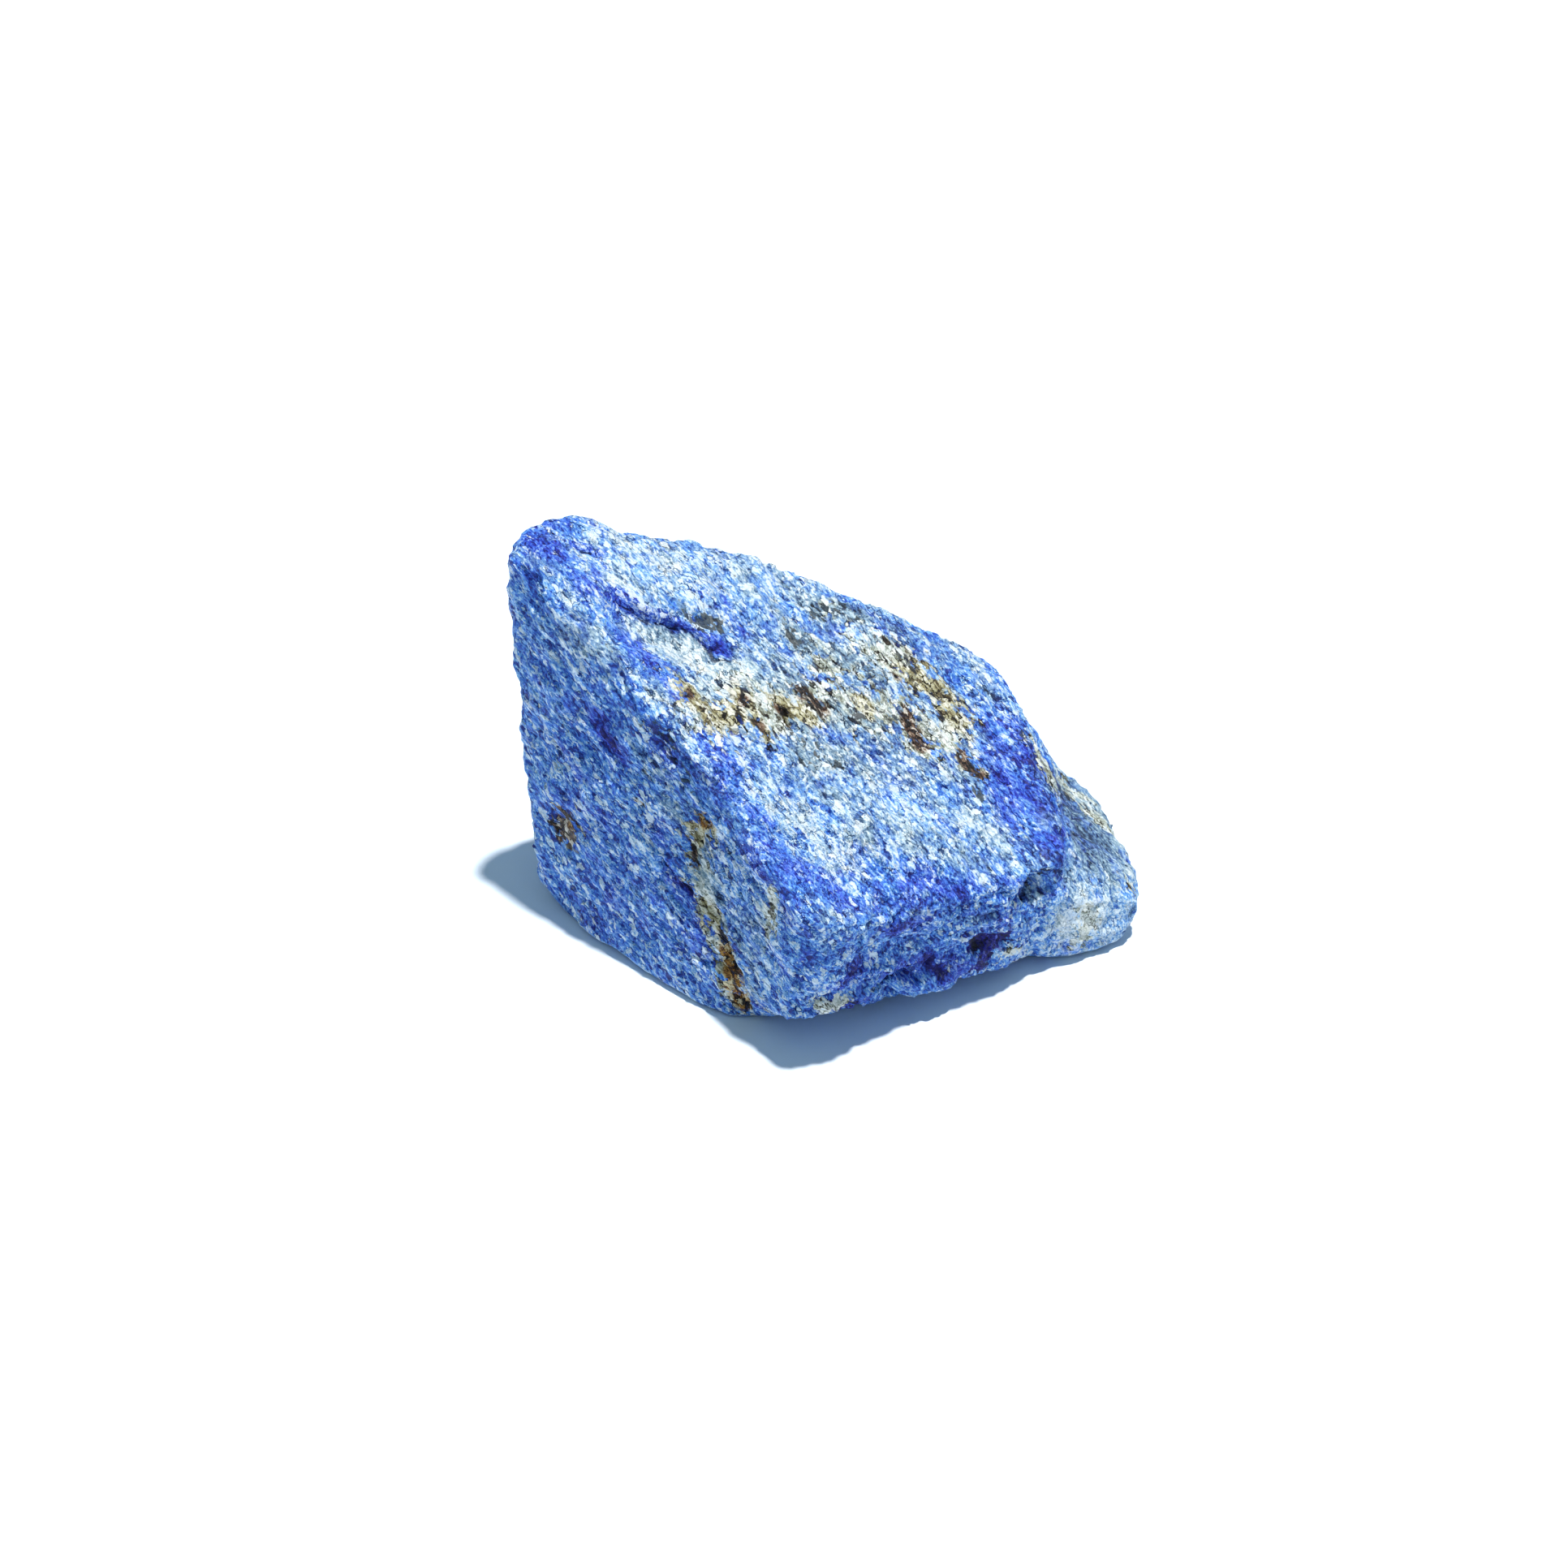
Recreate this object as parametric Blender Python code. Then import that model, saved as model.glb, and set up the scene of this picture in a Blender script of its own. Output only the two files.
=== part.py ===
"""Rough lapis lazuli: one broken lump of rock, resting on its flat foot.

Metres, +Z up. The origin lies on the table, under the middle of the stone's box. -Y is the front,
where the steep left face and the sloping top meet in a leaning ridge, and +X runs along the stone.
"""

import math

import bmesh
import bpy
from mathutils import Vector, noise
from mathutils.bvhtree import BVHTree

MM = 0.001

# The box the finished stone fills.
LENGTH = 40.2 * MM
DEPTH = 29.8 * MM
HEIGHT = 26.0 * MM

# Size of the even facets the lump is cut into before it is roughened, and the share of them kept.
FACET = 0.55 * MM
FACE_SHARE = 0.20
EDGE_WEAR_STEPS = 3

# The broken surface: how far apart the swells and chips are, and how far they stand out.
SWELL = {"spacing": 7.0 * MM, "height": 0.25 * MM}
CHIPS = {"spacing": 2.4 * MM, "height": 0.20 * MM}

# The stone is laid out as someone in front of it sees it, looking down at it. The view is a square with its origin
# at the upper left, x across and y down, and "middle" is its centre. "unit" is the size, in millimetres, of one
# step of the view at "distance". "touch" is where the front of the foot meets the table, at depth 0.
VIEW = {"elevation": 35, "distance": 330, "unit": 0.0516, "middle": (966, 966), "middle height": 9.5,
        "touch": (909, 1257)}

# The plane of the sloping top, through the knob, the tip of the prow and the right corner: x, y, depth of each.
TOP = {"knob": (700, 634, 18.4), "prow tip": (987, 1133, -5.3), "right corner": (1300, 1065, 4.8)}

# Each group says how its corners are placed:
#   "depth"   x and y in the view, and how far back the corner lies
#   "height"  x and y in the view, and how far above the table it lies
#   "top"     x and y in the view, in the plane of the sloping top
#   "space"   plain x, y, z, for corners that are hidden or lie inside another lump
# Depths, heights and plain corners are in millimetres. The foot corners reach below the table and are cut off.
# The corners of an edge that wears down stand a little outside of where the worn edge is to be.
# The main block: a knob at the upper left, a top that slopes down to the right, a steep left face.
BLOCK = {
    "knob": ("depth", [(702, 626, 18.7), (643, 641, 17.6), (619, 678, 15.9), (643, 692, 14.4), (696, 684, 14.4)]),
    "rear ridge": ("top", [(950, 686), (1215, 800)]),
    "right edge": ("top", [(1245, 850), (1305, 981), (1322, 1053), (1300, 1068)]),
    "right side": ("depth", [(1293, 928, 20.3)]),
    "front ridge": ("top", [(760, 755), (940, 1030)]),
    "front lip": ("depth", [(1050, 1130, -3.2), (1200, 1120, 1.0), (1260, 1095, 3.0)]),
    "front hem": ("depth", [(1146, 1225, 0.8), (1247, 1192, 3.7)]),
    "left hem": ("height", [(903, 1258, 0.0), (866, 1243, 0.1), (740, 1167, 0.3), (667, 1100, 0.8), (657, 1080, 1.8)]),
    "inside the prow": ("space", [(1.6, -2.6, 11.6), (0.4, -2.6, 2.2), (1.8, -3.0, 2.5), (3.7, -2.6, 2.6)]),
    "left rear": ("space", [(-15.0, 19.6, 12.0), (-14.2, 19.6, 1.4)]),
    "rear": ("space", [(-11.0, 21.8, 15.0), (-3.0, 24.2, 12.0), (6.0, 24.4, 9.0), (13.0, 22.2, 6.4),
                       (-11.0, 22.2, 1.2), (0.0, 24.8, 1.4), (9.0, 24.2, 1.2), (14.5, 20.5, 1.2)]),
    "foot": ("space", [(-3.4, 1.2, -0.4), (-9.4, 6.8, -0.4), (-14.2, 13.0, -0.4), (-13.0, 18.6, -0.4),
                       (-9.5, 21.0, -0.4), (0.0, 23.2, -0.4), (9.0, 22.4, -0.4), (14.0, 19.0, -0.4),
                       (14.6, 9.0, -0.4), (1.0, 1.6, -0.4)]),
}

# The prow: the swollen front corner, to the right of the fold that the vein runs down.
PROW = {
    "ridge": ("top", [(870, 930), (970, 1090)]),
    "tip": ("depth", [(987, 1133, -5.3)]),
    "lip": ("depth", [(1016, 1142, -5.2), (1131, 1123, -0.9)]),
    "fold": ("depth", [(882, 1022, 2.4), (915, 1244, -0.2)]),
    "hem": ("depth", [(935, 1255, -1.8), (969, 1265, -4.0), (1001, 1262, -4.0), (1040, 1251, -3.1),
                      (1089, 1228, -1.0)]),
    "root": ("space", [(-2.0, 4.0, 2.0), (6.0, 4.0, 2.0), (6.0, 4.0, 12.0), (-2.0, 5.0, 15.0)]),
}

# The flank: the low lobe that runs round the right end of the block.
FLANK = {
    "crest": ("depth", [(1302, 944, 20.2), (1330, 1058, 8.0), (1290, 1106, 5.0), (1345, 1099, 6.8)]),
    "rim": ("depth", [(1347, 970, 19.6), (1369, 990, 18.0), (1410, 1068, 11.5), (1412, 1092, 9.8), (1405, 1126, 8.4)]),
    "hem": ("height", [(1390, 1157, 0.4), (1344, 1175, 0.4), (1299, 1180, 0.8)]),
    "root": ("space", [(15.0, 19.6, 7.6), (10.0, 8.0, 6.0), (10.0, 19.0, 6.0), (10.0, 8.0, 0.4), (12.0, 21.0, 4.0),
                       (14.0, 4.4, 1.4)]),
    "foot": ("space", [(20.8, 10.0, -0.4), (19.0, 17.0, -0.4), (14.0, 20.0, -0.4), (12.0, 8.0, -0.4),
                       (17.0, 7.4, -0.4)]),
}

# Where slabs have split off the top: the line of each step as the view shows it, the step's depth, and how far
# the hollow below it runs.
STEPS = {
    "long step": {"line": [(740, 730), (790, 757), (870, 782)], "depth": 0.75, "run": 4.5},
    "knob step": {"line": [(695, 667), (740, 685)], "depth": 0.35, "run": 2.5},
}

# Scoops knocked out of the edges and faces: middle, placed as the corners are, and half-widths in millimetres.
SCOOPS = {
    "corner crevice": {"middle": ("depth", (1285, 1105, 3.4)), "half": (2.3, 2.2, 1.2)},
    "hem scoop": {"middle": ("depth", (1122, 1260, -1.4)), "half": (2.8, 2.1, 2.1)},
    "hem nick": {"middle": ("depth", (1040, 1277, -3.7)), "half": (1.1, 0.9, 1.3)},
    "flank dent": {"middle": ("depth", (1316, 1156, 4.6)), "half": (2.0, 1.2, 1.6)},
    "ridge saddle": {"middle": ("space", (-7.0, 20.4, 25.4)), "half": (6.0, 3.0, 2.0)},
    "rear break": {"middle": ("space", (1.0, 31.6, 15.0)), "half": (17.0, 9.4, 12.0)},
}


def sight(x, y):
    """The direction in which the eye sees the place (x, y) of the view."""
    tilt = math.radians(VIEW["elevation"])
    forward = Vector((0, math.cos(tilt), -math.sin(tilt)))
    right = Vector((1, 0, 0))
    up = right.cross(forward)
    across = x - VIEW["middle"][0]
    down = y - VIEW["middle"][1]
    return forward * (VIEW["distance"] / VIEW["unit"]) + right * across - up * down


def eye():
    """Where the eye is, in millimetres: from there the touch point lies on the table at depth 0."""
    height = VIEW["middle height"] + VIEW["distance"] * math.sin(math.radians(VIEW["elevation"]))
    touch = sight(*VIEW["touch"])
    return Vector((0, height * touch.y / touch.z, height))


def on_plane(x, y, point, normal):
    """Where the line of sight through (x, y) meets the plane through the point, square to the normal."""
    towards = sight(x, y)
    return eye() + towards * ((point - eye()).dot(normal) / towards.dot(normal))


def at_depth(x, y, depth):
    return on_plane(x, y, Vector((0, depth, 0)), Vector((0, 1, 0)))


def at_height(x, y, height):
    return on_plane(x, y, Vector((0, 0, height)), Vector((0, 0, 1)))


def top_plane():
    """A point of the sloping top and the direction square to it, upwards."""
    knob, tip, corner = (at_depth(*TOP[name]) for name in ("knob", "prow tip", "right corner"))
    return knob, (tip - knob).cross(corner - knob).normalized()


def placed(how, place):
    """One corner in millimetres, from its place and how that place is given."""
    if how == "depth":
        return at_depth(*place)
    if how == "height":
        return at_height(*place)
    if how == "top":
        return on_plane(*place, *top_plane())
    return Vector(place)


def clear_scene():
    for thing in list(bpy.data.objects):
        bpy.data.objects.remove(thing)


def in_mm(corner):
    return Vector(corner) * MM


def hull(name, corners):
    """A closed convex lump round the corners."""
    shape = bmesh.new()
    for corner in corners:
        shape.verts.new(in_mm(corner))
    found = bmesh.ops.convex_hull(shape, input=shape.verts)
    inside = [v for v in found["geom_interior"] if isinstance(v, bmesh.types.BMVert)]
    bmesh.ops.delete(shape, geom=inside, context="VERTS")
    bmesh.ops.recalc_face_normals(shape, faces=shape.faces)
    mesh = bpy.data.meshes.new(name)
    shape.to_mesh(mesh)
    shape.free()
    lump = bpy.data.objects.new(name, mesh)
    bpy.context.scene.collection.objects.link(lump)
    return lump


def lump_from_groups(name, groups):
    return hull(name, [placed(how, place) for how, places in groups.values() for place in places])


def seen_on(lump, x, y):
    """The point of the lump, in millimetres, that shows at the place (x, y) of the view."""
    corners = [v.co / MM for v in lump.data.vertices]
    faces = [p.vertices for p in lump.data.polygons]
    point, _, _, _ = BVHTree.FromPolygons(corners, faces).ray_cast(eye(), sight(x, y).normalized())
    return point


def step_cutter(name, stone, line, depth, run):
    """A wedge that is deepest along the line and comes back up to the surface in front of it."""
    starts = [seen_on(stone, x, y) for x, y in line]
    _, up = top_plane()
    downhill = (starts[-1] - starts[0]).cross(up).normalized()
    corners = []
    for start in starts:
        end = start + downhill * run
        corners += [start + up * 2, start - up * depth, end + up * 2, end]
    return hull(name, corners)


def scoop_cutter(name, middle, half):
    bpy.ops.mesh.primitive_ico_sphere_add(subdivisions=3, radius=1, location=in_mm(placed(*middle)))
    scoop = bpy.context.object
    scoop.name = name
    scoop.scale = in_mm(half)
    return scoop


def add_boolean(body, lump, operation):
    boolean = body.modifiers.new(lump.name, "BOOLEAN")
    boolean.operation = operation
    boolean.solver = "EXACT"
    boolean.object = lump
    lump.hide_render = True
    lump.display_type = "WIRE"


def apply_modifiers(body):
    graph = bpy.context.evaluated_depsgraph_get()
    body.data = bpy.data.meshes.new_from_object(body.evaluated_get(graph))
    body.modifiers.clear()


def cut_into_facets(body):
    """Even facets all over, with the sharp edges worn down a little."""
    remesh = body.modifiers.new("facets", "REMESH")
    remesh.mode = "VOXEL"
    remesh.voxel_size = FACET
    apply_modifiers(body)
    shape = bmesh.new()
    shape.from_mesh(body.data)
    for _ in range(EDGE_WEAR_STEPS):
        bmesh.ops.smooth_vert(shape, verts=shape.verts, factor=0.5, use_axis_x=True, use_axis_y=True, use_axis_z=True)
    shape.to_mesh(body.data)
    shape.free()


def roughen(body):
    """Moves every point along its normal by a broad swell and by small chips."""
    normals = [v.normal.copy() for v in body.data.vertices]
    for vertex, normal in zip(body.data.vertices, normals):
        swell = noise.noise(vertex.co / SWELL["spacing"]) * SWELL["height"]
        chips = noise.noise(vertex.co / CHIPS["spacing"] + Vector((9, 4, 7))) * CHIPS["height"]
        vertex.co += normal * (swell + chips)


def keep_fewer_faces(body):
    decimate = body.modifiers.new("fewer faces", "DECIMATE")
    decimate.ratio = FACE_SHARE
    apply_modifiers(body)


def cut_flat_foot(body):
    """Slices off what lies below the table and closes the cut with one flat face."""
    shape = bmesh.new()
    shape.from_mesh(body.data)
    everything = shape.verts[:] + shape.edges[:] + shape.faces[:]
    cut = bmesh.ops.bisect_plane(shape, geom=everything, plane_co=(0, 0, 0), plane_no=(0, 0, 1), clear_inner=True)
    rim = [e for e in cut["geom_cut"] if isinstance(e, bmesh.types.BMEdge)]
    bmesh.ops.edgeloop_fill(shape, edges=rim)
    bmesh.ops.recalc_face_normals(shape, faces=shape.faces)
    shape.to_mesh(body.data)
    shape.free()


def fit_to_box(body):
    """Scales the stone to LENGTH, DEPTH and HEIGHT and puts the middle of its foot over the origin."""
    points = [v.co for v in body.data.vertices]
    low = Vector([min(p[axis] for p in points) for axis in range(3)])
    high = Vector([max(p[axis] for p in points) for axis in range(3)])
    size = high - low
    middle = (low + high) / 2
    for point in points:
        point.x = (point.x - middle.x) * LENGTH / size.x
        point.y = (point.y - middle.y) * DEPTH / size.y
        point.z = (point.z - low.z) * HEIGHT / size.z
    print("size as drawn", [round(s / MM, 2) for s in size], "middle", [round(m / MM, 2) for m in middle])


def lapis_colour():
    material = bpy.data.materials.new("lapis lazuli")
    material.use_nodes = True
    surface = material.node_tree.nodes["Principled BSDF"]
    surface.inputs["Base Color"].default_value = (0.11, 0.22, 0.55, 1)
    surface.inputs["Roughness"].default_value = 0.6
    surface.inputs["Metallic"].default_value = 0
    return material


def main():
    clear_scene()
    stone = lump_from_groups("lapis_stone", BLOCK)
    add_boolean(stone, lump_from_groups("prow", PROW), "UNION")
    add_boolean(stone, lump_from_groups("flank", FLANK), "UNION")
    for name, step in STEPS.items():
        add_boolean(stone, step_cutter(name, stone, step["line"], step["depth"], step["run"]), "DIFFERENCE")
    for name, scoop in SCOOPS.items():
        add_boolean(stone, scoop_cutter(name, scoop["middle"], scoop["half"]), "DIFFERENCE")
    cut_into_facets(stone)
    roughen(stone)
    keep_fewer_faces(stone)
    cut_flat_foot(stone)
    fit_to_box(stone)
    stone.data.materials.clear()
    stone.data.materials.append(lapis_colour())


main()
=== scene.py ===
import math
import time

import bpy
import numpy as np
from mathutils import Matrix, Vector
from mathutils.bvhtree import BVHTree


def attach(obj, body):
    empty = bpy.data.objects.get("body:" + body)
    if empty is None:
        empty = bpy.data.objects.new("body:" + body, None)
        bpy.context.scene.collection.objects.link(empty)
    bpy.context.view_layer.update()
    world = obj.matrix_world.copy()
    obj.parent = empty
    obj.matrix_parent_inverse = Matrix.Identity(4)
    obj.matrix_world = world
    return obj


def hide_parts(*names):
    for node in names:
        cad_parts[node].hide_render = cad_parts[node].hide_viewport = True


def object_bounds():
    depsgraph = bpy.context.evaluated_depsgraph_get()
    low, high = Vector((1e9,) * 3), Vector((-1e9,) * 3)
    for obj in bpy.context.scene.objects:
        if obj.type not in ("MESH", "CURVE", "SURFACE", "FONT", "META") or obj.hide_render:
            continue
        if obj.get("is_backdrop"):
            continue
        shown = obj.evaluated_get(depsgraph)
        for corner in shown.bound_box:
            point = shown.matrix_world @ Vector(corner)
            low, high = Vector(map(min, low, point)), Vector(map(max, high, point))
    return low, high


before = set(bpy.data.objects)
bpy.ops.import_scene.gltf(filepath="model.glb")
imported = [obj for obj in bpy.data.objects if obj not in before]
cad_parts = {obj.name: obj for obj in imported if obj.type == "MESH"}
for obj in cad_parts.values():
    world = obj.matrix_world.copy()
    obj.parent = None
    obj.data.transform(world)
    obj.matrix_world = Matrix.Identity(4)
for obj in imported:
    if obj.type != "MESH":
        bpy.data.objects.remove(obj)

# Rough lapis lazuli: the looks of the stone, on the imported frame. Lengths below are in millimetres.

mm = 0.001
started = time.time()
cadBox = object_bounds()


def say(text):
    print("%5.1f s  %s" % (time.time() - started, text))


def cellHash(cells, seed):
    # A fixed number from 0 to 1 for every whole-number cell: its three coordinates are mixed bit by bit.
    x, y, z = (cells[..., axis].astype(np.int64).astype(np.uint32) for axis in range(3))
    mixed = x * np.uint32(374761393) ^ y * np.uint32(668265263) ^ z * np.uint32(2246822519)
    mixed = mixed ^ np.uint32((seed * 3266489917) & 0xFFFFFFFF)
    mixed = (mixed ^ (mixed >> np.uint32(15))) * np.uint32(2246822519)
    mixed = (mixed ^ (mixed >> np.uint32(13))) * np.uint32(3266489917)
    return (mixed ^ (mixed >> np.uint32(16))).astype(np.float64) / 4294967296.0


def softNoise(points, seed):
    # Gradient noise, about -1 to 1: each corner of a point's unit cell holds a random slope, and the eight
    # slopes are blended with the curve 6t^5 - 15t^4 + 10t^3.
    base = np.floor(points)
    part = points - base
    blend = part * part * part * (part * (part * 6 - 15) + 10)
    total = np.zeros(len(points))
    for corner in np.ndindex(2, 2, 2):
        step = np.array(corner, float)
        cell = base + step
        slope = np.stack([cellHash(cell, seed * 3 + axis) * 2 - 1 for axis in range(3)], axis=1)
        weight = np.prod(np.where(step > 0, blend, 1 - blend), axis=1)
        total += weight * np.sum(slope * (part - step), axis=1)
    return total * 1.6


def layeredNoise(points, seed, layers=4, fall=0.5):
    # Soft noise added up: each layer is twice as fine as the last one and "fall" times as strong.
    total = np.zeros(len(points))
    strengths = fall ** np.arange(layers)
    for layer, strength in enumerate(strengths):
        total += strength * softNoise(points * 2.0 ** layer + 17.3 * layer, seed + layer)
    return total / strengths.sum()


def flakeNoise(points, seed):
    # Cell noise: every unit cell holds one seed point, and a point belongs to the nearest one. Gives how
    # far the point is from its flake's border, a random number of the flake, and the height of a randomly
    # tilted plane through the seed point: the way from the seed point times a random slope, axis by axis.
    base = np.floor(points)
    nearest = np.full(len(points), 9.0)
    second = np.full(len(points), 9.0)
    number = np.zeros(len(points))
    tilted = np.zeros(len(points))
    for offset in np.ndindex(3, 3, 3):
        cell = base + np.array(offset) - 1.0
        seedPoint = cell + np.stack([cellHash(cell, seed * 9 + axis) for axis in range(3)], axis=1)
        slope = np.stack([cellHash(cell, seed * 9 + 4 + axis) * 2 - 1 for axis in range(3)], axis=1)
        away = np.linalg.norm(points - seedPoint, axis=1)
        closer = away < nearest
        second = np.where(closer, nearest, np.minimum(second, away))
        number = np.where(closer, cellHash(cell, seed * 9 + 3), number)
        tilted = np.where(closer, np.sum((points - seedPoint) * slope, axis=1), tilted)
        nearest = np.where(closer, away, nearest)
    return second - nearest, number, tilted


def smoothStep(low, high, values):
    # 0 below low, 1 above high, and the curve 3t^2 - 2t^3 between.
    t = np.clip((values - low) / (high - low), 0, 1)
    return t * t * (3 - 2 * t)


# The fibres of the rock all run one way, from the upper left to the lower right of the front.
grainRun = np.array([0.65, -0.59, -0.48])
grainRun /= np.linalg.norm(grainRun)
grainSide = np.cross(grainRun, [0, 0, 1.0])
grainSide /= np.linalg.norm(grainSide)
grainRise = np.cross(grainRun, grainSide)


def alongGrain(points, across, along):
    # The points in the grain's own axes, divided by how wide and how long one streak is.
    axes = (points @ grainSide / across, points @ grainRise / across, points @ grainRun / along)
    return np.stack(axes, axis=1)


lump = {
    "grid": 128,                # squares along one side of each of the six grids
    "centre": (0.5, 0.5, 9.0),  # the whole outside is seen from here
    "ballRadius": 60.0,
    "evenings": 6,              # rounds of evening out the grid and pushing it out again
    "eveningSteps": 10,
    "softenSteps": 2,           # how far the frame's facets are worn down
    "slip": 0.7,                # a point this much further in or out than its neighbours has slipped
}


def ballGrids(count):
    # Six square grids closed into a ball. A point of a cube's face at (u, v), both from -1 to 1, goes to
    # (tan(u pi/4), tan(v pi/4), 1) and then to length 1, which keeps the squares nearly even. Rows that
    # two faces share become one row, so the ball has no seam. Also gives each corner's place in the
    # baking map.
    steps = np.arange(count + 1)
    i, j = np.meshgrid(steps, steps, indexing="ij")
    lattice, tiles = [], []
    for side in range(6):
        axis, high = side % 3, side >= 3
        whole = np.zeros((count + 1, count + 1, 3), int)
        whole[..., axis] = count if high else 0
        first, other = (i, j) if high else (j, i)
        whole[..., (axis + 1) % 3] = first
        whole[..., (axis + 2) % 3] = other
        lattice.append(whole.reshape(-1, 3))
        tiles.append((side % 3, side // 3))
    allPoints = np.concatenate(lattice)
    unique, index = np.unique(allPoints, axis=0, return_inverse=True)
    index = index.reshape(6, count + 1, count + 1)
    quads = np.stack([index[:, :-1, :-1], index[:, 1:, :-1], index[:, 1:, 1:], index[:, :-1, 1:]], axis=-1)
    flat = np.tan((unique / count * 2 - 1) * math.pi / 4)
    directions = flat / np.linalg.norm(flat, axis=1)[:, None]
    margin = 0.015
    inTile = steps / count * (1 - 2 * margin) + margin
    mapping = []
    for column, row in tiles:
        u = (column + inTile[:, None] + 0 * inTile[None, :]) / 3
        v = (row + inTile[None, :] + 0 * inTile[:, None]) / 2
        uv = np.stack([u, v], axis=-1)
        mapping.append(np.stack([uv[:-1, :-1], uv[1:, :-1], uv[1:, 1:], uv[:-1, 1:]], axis=2))
    return directions, quads.reshape(-1, 4), np.array(mapping).reshape(-1, 2)


def pushedOut(directions, quads, centre, target):
    # Where rays from the centre leave the target: a ball of that grid, bigger than the stone, is shrunk
    # onto it along its normals, which on a ball run through its centre.
    mesh = bpy.data.meshes.new("ball")
    mesh.from_pydata(centre + directions * lump["ballRadius"] * mm, [], quads.tolist())
    ball = bpy.data.objects.new("ball", mesh)
    bpy.context.scene.collection.objects.link(ball)
    shrink = ball.modifiers.new("shrink", "SHRINKWRAP")
    shrink.target = target
    shrink.wrap_method = "PROJECT"
    shrink.use_negative_direction = True
    shrink.use_positive_direction = False
    shape = ball.evaluated_get(bpy.context.evaluated_depsgraph_get()).data
    result = np.empty(len(directions) * 3)
    shape.vertices.foreach_get("co", result)
    bpy.data.objects.remove(ball)
    bpy.data.meshes.remove(mesh)
    return result.reshape(-1, 3)


def neighbourMean(values, edges, count):
    # For every point, the mean of its neighbours' values.
    starts = np.concatenate([edges[:, 0], edges[:, 1]])
    ends = np.concatenate([edges[:, 1], edges[:, 0]])
    number = np.bincount(starts, minlength=count)
    return np.stack([np.bincount(starts, values[ends, axis], count) / number for axis in range(3)], axis=1)


def gridEdges(quads):
    pairs = np.concatenate([quads[:, [0, 1]], quads[:, [1, 2]], quads[:, [2, 3]], quads[:, [3, 0]]])
    return np.unique(np.sort(pairs, axis=1), axis=0)


def outward(points, quads):
    # Each point's normal: the sum of the cross products of its squares' diagonals, brought to length 1.
    cross = np.cross(points[quads[:, 2]] - points[quads[:, 0]], points[quads[:, 3]] - points[quads[:, 1]])
    corners = quads.ravel()
    sums = [np.bincount(corners, np.repeat(cross[:, axis], 4), len(points)) for axis in range(3)]
    normals = np.stack(sums, axis=1)
    return normals / np.maximum(np.linalg.norm(normals, axis=1), 1e-12)[:, None]


def withoutSlips(points, directions, edges, centre):
    # A ray that slips between two of the frame's triangles lands far inside. Such a point takes its
    # neighbours' mean distance from the centre.
    for _ in range(3):
        reach = np.linalg.norm(points - centre, axis=1)
        usual = neighbourMean(np.repeat(reach[:, None], 3, axis=1), edges, len(points))[:, 0]
        reach = np.where(np.abs(reach - usual) > lump["slip"] * mm, usual, reach)
        points = centre + directions * reach[:, None]
    return points


def wrapLump(node):
    directions, quads, mapping = ballGrids(lump["grid"])
    centre = np.array(lump["centre"]) * mm
    if np.sum(outward(directions, quads) * directions) < 0:
        quads = quads[:, ::-1].copy()
        mapping = mapping.reshape(-1, 4, 2)[:, ::-1].reshape(-1, 2).copy()
    edges = gridEdges(quads)
    for _ in range(lump["evenings"]):
        points = pushedOut(directions, quads, centre, node)
        points = withoutSlips(points, directions, edges, centre)
        for _ in range(lump["eveningSteps"]):
            points = neighbourMean(points, edges, len(points))
        directions = (points - centre) / np.linalg.norm(points - centre, axis=1)[:, None]
    points = pushedOut(directions, quads, centre, node)
    points = withoutSlips(points, directions, edges, centre)
    for _ in range(lump["softenSteps"]):
        points = neighbourMean(points, edges, len(points))
    return points / mm, quads, edges, mapping


# The view that the camera has. Marks are placed by where they show in it: x steps across and y steps
# down from its upper left corner.
view = {
    "target": (-2.65, 2.44, 9.5),      # what the camera looks at
    "distance": 330.0,
    "elevation": 35.0,
    "width": 99.7,                     # how much it takes in, across the target
    "steps": 1932,                     # the number of steps from side to side
}


def viewAxes():
    # The directions in which the view runs forward, to the right and up.
    slope = math.radians(view["elevation"])
    forward = np.array([0, math.cos(slope), -math.sin(slope)])
    right = np.array([1.0, 0, 0])
    return forward, right, np.cross(right, forward)


def sightTo(x, y):
    # Where the camera stands, and the direction in which the place (x, y) of the view lies.
    forward, right, up = viewAxes()
    step = view["width"] / view["steps"]
    across = (x - view["steps"] / 2) * step
    down = (y - view["steps"] / 2) * step
    towards = forward * view["distance"] + right * across - up * down
    return np.array(view["target"]) - forward * view["distance"], towards / np.linalg.norm(towards)


# The relief. Heights and spacings are in millimetres.
relief = {
    "swell": {"spacing": 5.0, "height": 0.20},
    "ribs": {"across": 1.6, "along": 7.0, "height": 0.28, "middle": 0.35},
    "splinters": {"spacing": 1.1, "height": 0.22, "riser": 0.2},
    "splinterBends": {"fine": (1.4, 5.0, 0.9), "broad": (4.0, 9.0, 1.8)},     # across, along, how strong
    "splinterPatches": {"spacing": 2.5, "least": 0.7},
    "plates": {"across": 1.2, "along": 2.6, "tilt": 0.19, "step": 0.12, "crack": 0.09, "border": 0.14},
    "flakes": {"across": 0.5, "along": 0.95, "tilt": 0.10, "step": 0.07, "crack": 0.06, "border": 0.22},
    "ragged": 0.3,              # how far the borders of plates and flakes stray, in widths
    "fibres": {"across": 0.45, "along": 2.4, "height": 0.12, "layers": 3, "fall": 0.6},
    "footFade": (0.2, 0.9),     # the relief dies out between these heights, for a flat foot
    "footShare": 0.15,          # how much of the relief is left at the foot
    "flatBelow": 0.03,          # faces below this height that look down stay on the table
    "lookingDown": -0.9,
    "overBox": 0.15,            # how far the highest grains may stand out of the frame's box
}

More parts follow.
